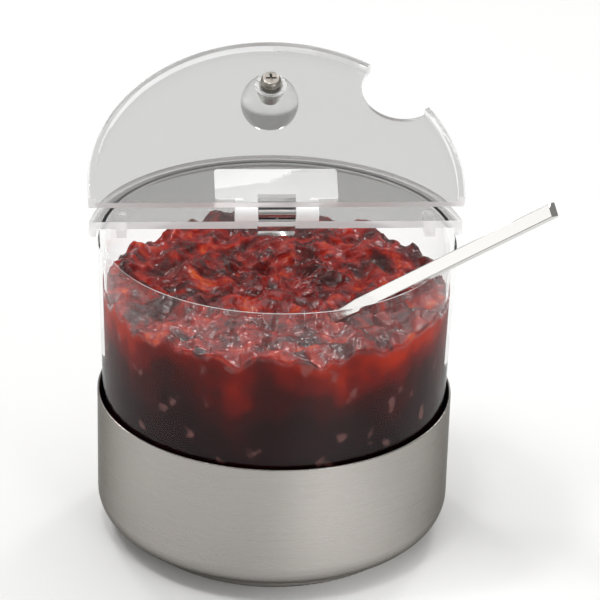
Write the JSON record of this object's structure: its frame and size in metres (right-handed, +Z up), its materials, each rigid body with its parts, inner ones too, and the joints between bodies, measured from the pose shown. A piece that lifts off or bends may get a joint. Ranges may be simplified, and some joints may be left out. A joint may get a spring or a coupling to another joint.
{
  "type": "preserve_crock",
  "caption": "Chilled preserve crock: clear tub of red jam in a satin steel base with a cooling pack, clear two-part lid with hinged notched flap and ball knob, steel spoon.",
  "frame": {"origin": "Centre of the base's flat underside, where it stands.", "axes": "+Z up, -Y to the front, where the flap opens away from the user; the hinge runs along X."},
  "size_m": [0.1688, 0.1576, 0.1749],
  "materials": {
    "satin_steel": "satin, brushed around",
    "pack_plastic": "blow-moulded polyethylene",
    "cooling_gel": "clear blue gel",
    "plug_plastic": "moulded polyethylene",
    "clear_crock": "clear moulded plastic, polished",
    "preserve": "wet, lumpy red fruit preserve",
    "clear_lid": "clear acrylic, polished",
    "clear_hinge": "clear moulded plastic",
    "pin_steel": "polished stainless pin",
    "clear_knob": "clear acrylic ball, polished",
    "plated_brass": "nickel-plated brass",
    "plated_screw": "polished stainless",
    "polished_steel": "polished stainless"
  },
  "bodies": {
    "base": {"base_shell": "satin_steel"},
    "cooling_pack": {"cool_pack_shell": "pack_plastic", "cool_pack_gel": "cooling_gel", "cool_pack_plug": "plug_plastic"},
    "crock": {"crock": "clear_crock", "preserve_fill": "preserve"},
    "lid": {"rear_lid": "clear_lid", "hinge_clip": "clear_hinge"},
    "flap": {"front_flap": "clear_lid", "hinge_leaf": "clear_hinge", "hinge_pin": "pin_steel", "knob": "clear_knob", "knob_insert": "plated_brass", "knob_screw": "plated_screw"},
    "spoon": {"spoon": "polished_steel"}
  },
  "joints": [
    {"name": "crock_lift", "type": "slide", "parent": "base", "child": "crock", "axis": [0, 0, 1], "range_m": [0, 0.13]},
    {"name": "cool_pack_lift", "type": "slide", "parent": "base", "child": "cooling_pack", "axis": [0, 0, 1], "range_m": [0, 0.07]},
    {"name": "lid_lift", "type": "slide", "parent": "crock", "child": "lid", "axis": [0, 0, 1], "range_m": [0, 0.06]},
    {"name": "flap_hinge", "type": "hinge", "parent": "lid", "child": "flap", "pos_m": [0, 0.00825, 0.1295], "axis": [1, 0, 0], "range_deg": [0, 152.9]},
    {"name": "spoon_draw", "type": "slide", "parent": "crock", "child": "spoon", "axis": [0.5675, -0.3546, 0.7431], "range_m": [0, 0.18], "deforming": ["preserve_fill"]}
  ],
  "couplings": [
    {"joint": "cool_pack_lift", "follows": "crock_lift", "ratio": 0.5}
  ]
}
